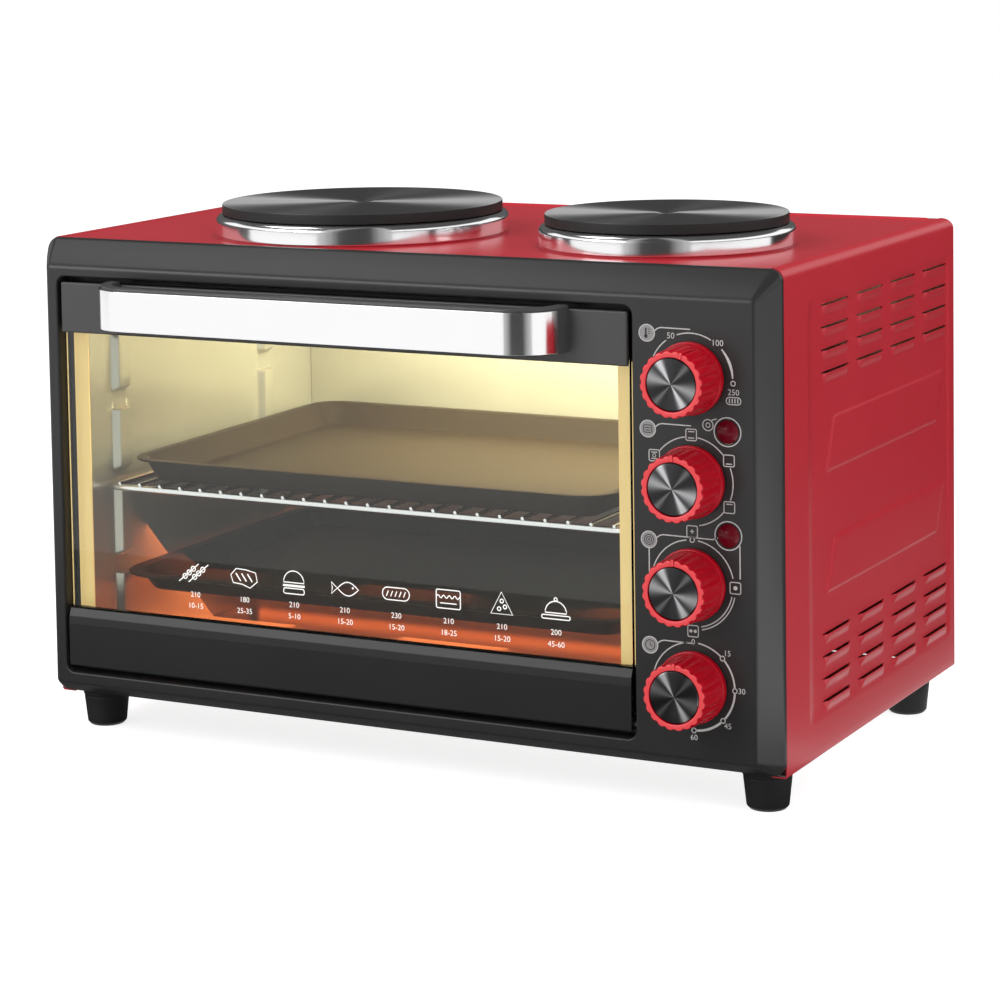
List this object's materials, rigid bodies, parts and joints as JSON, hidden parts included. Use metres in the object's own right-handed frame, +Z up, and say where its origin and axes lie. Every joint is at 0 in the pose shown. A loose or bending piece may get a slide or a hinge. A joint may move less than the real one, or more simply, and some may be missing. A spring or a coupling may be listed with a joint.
{
  "type": "counter-top electric oven with two hotplates",
  "caption": "Counter-top electric oven with a drop-down glass door, a column of rotary controls, rack and trays inside and cast iron hotplates on top.",
  "frame": {"origin": "middle of the footprint, on the surface that the feet stand on", "axes": "X to the right seen from the front, Y from the front to the back, Z up"},
  "size_m": [0.5224, 0.3584, 0.3498],
  "materials": {
    "red_enamel": "glossy red coating on sheet steel",
    "dark_bezel": "satin dark grey coating",
    "black_plastic": "satin black moulding",
    "knob_red": "glossy red moulding",
    "spun_metal": "dark metal, spun brushed",
    "chrome": "polished",
    "zinc_steel": "plated sheet steel",
    "cast_iron": "turned, black coated",
    "foot_rubber": "matt black",
    "tray_enamel": "dark enamel on sheet steel",
    "clear_glass": "clear tempered glass",
    "red_lens": "dark red translucent",
    "ceramic": "ceramic lamp socket",
    "heater_sheath": "heat-tinted metal sheath"
  },
  "bodies": {
    "casing": {"front_bezel": "dark_bezel", "side_panel_left": "red_enamel", "side_panel_right": "red_enamel", "top_panel": "red_enamel", "hotplate_left": "cast_iron", "hotplate_right": "cast_iron", "spill_ring_left": "chrome", "spill_ring_right": "chrome", "hotplate_bridge_left": "zinc_steel", "hotplate_bridge_right": "zinc_steel", "back_panel": "zinc_steel", "base_plate": "zinc_steel", "cavity_frame": "zinc_steel", "cavity_floor": "zinc_steel", "cavity_ceiling": "zinc_steel", "cavity_wall_back": "zinc_steel", "cavity_wall_left": "zinc_steel", "cavity_wall_right": "zinc_steel", "hinge_pin_left": "zinc_steel", "hinge_pin_right": "zinc_steel", "cord_bush": "foot_rubber", "foot_front_left": "foot_rubber", "foot_front_right": "foot_rubber", "foot_rear_left": "foot_rubber", "foot_rear_right": "foot_rubber", "heater_lower_front": "heater_sheath", "heater_lower_rear": "heater_sheath", "heater_upper_front": "heater_sheath", "heater_upper_rear": "heater_sheath", "oven_lamp_glass": "clear_glass", "oven_lamp_socket": "ceramic", "thermostat_switch": "black_plastic", "function_switch": "black_plastic", "hotplate_switch": "black_plastic", "timer_switch": "black_plastic", "power_lamp_lens": "red_lens", "heating_lamp_lens": "red_lens"},
    "door": {"door_glass": "clear_glass", "door_lower_panel": "dark_bezel", "door_lower_rail": "zinc_steel", "door_upper_rail": "zinc_steel", "door_handle": "black_plastic", "handle_trim": "chrome", "door_stay_left": "zinc_steel", "door_stay_right": "zinc_steel"},
    "thermostat_control": {"thermostat_knob": "knob_red", "thermostat_cap": "spun_metal", "thermostat_shaft": "zinc_steel"},
    "function_control": {"function_knob": "knob_red", "function_cap": "spun_metal", "function_shaft": "zinc_steel"},
    "hotplate_control": {"hotplate_knob": "knob_red", "hotplate_cap": "spun_metal", "hotplate_shaft": "zinc_steel"},
    "timer_control": {"timer_knob": "knob_red", "timer_cap": "spun_metal", "timer_shaft": "zinc_steel"},
    "rack": {"wire_rack": "chrome"},
    "tray_on_rack": {"upper_tray": "tray_enamel"},
    "tray_below": {"lower_tray": "tray_enamel"}
  },
  "joints": [
    {"name": "door_hinge", "type": "hinge", "parent": "casing", "child": "door", "pos_m": [0, -0.13985, 0.0518], "axis": [1, 0, 0], "range_deg": [0, 90]},
    {"name": "thermostat_turn", "type": "hinge", "parent": "casing", "child": "thermostat_control", "pos_m": [0.209, -0.14585, 0.2651], "axis": [0, 1, 0], "range_deg": [-90, 70]},
    {"name": "function_turn", "type": "hinge", "parent": "casing", "child": "function_control", "pos_m": [0.209, -0.14585, 0.2035], "axis": [0, 1, 0], "range_deg": [-60, 180]},
    {"name": "hotplate_turn", "type": "hinge", "parent": "casing", "child": "hotplate_control", "pos_m": [0.209, -0.14585, 0.1419], "axis": [0, 1, 0], "range_deg": [0, 180]},
    {"name": "timer_turn", "type": "hinge", "parent": "casing", "child": "timer_control", "pos_m": [0.209, -0.14585, 0.0803], "axis": [0, 1, 0], "range_deg": [-80, 180]},
    {"name": "rack_slide", "type": "slide", "parent": "casing", "child": "rack", "axis": [0, -1, 0], "range_m": [-0.004, 0.01]},
    {"name": "tray_on_rack_slide", "type": "slide", "parent": "rack", "child": "tray_on_rack", "axis": [0, -1, 0], "range_m": [-0.003, 0.004]},
    {"name": "tray_below_slide", "type": "slide", "parent": "casing", "child": "tray_below", "axis": [0, -1, 0], "range_m": [-0.006, 0.012]}
  ]
}
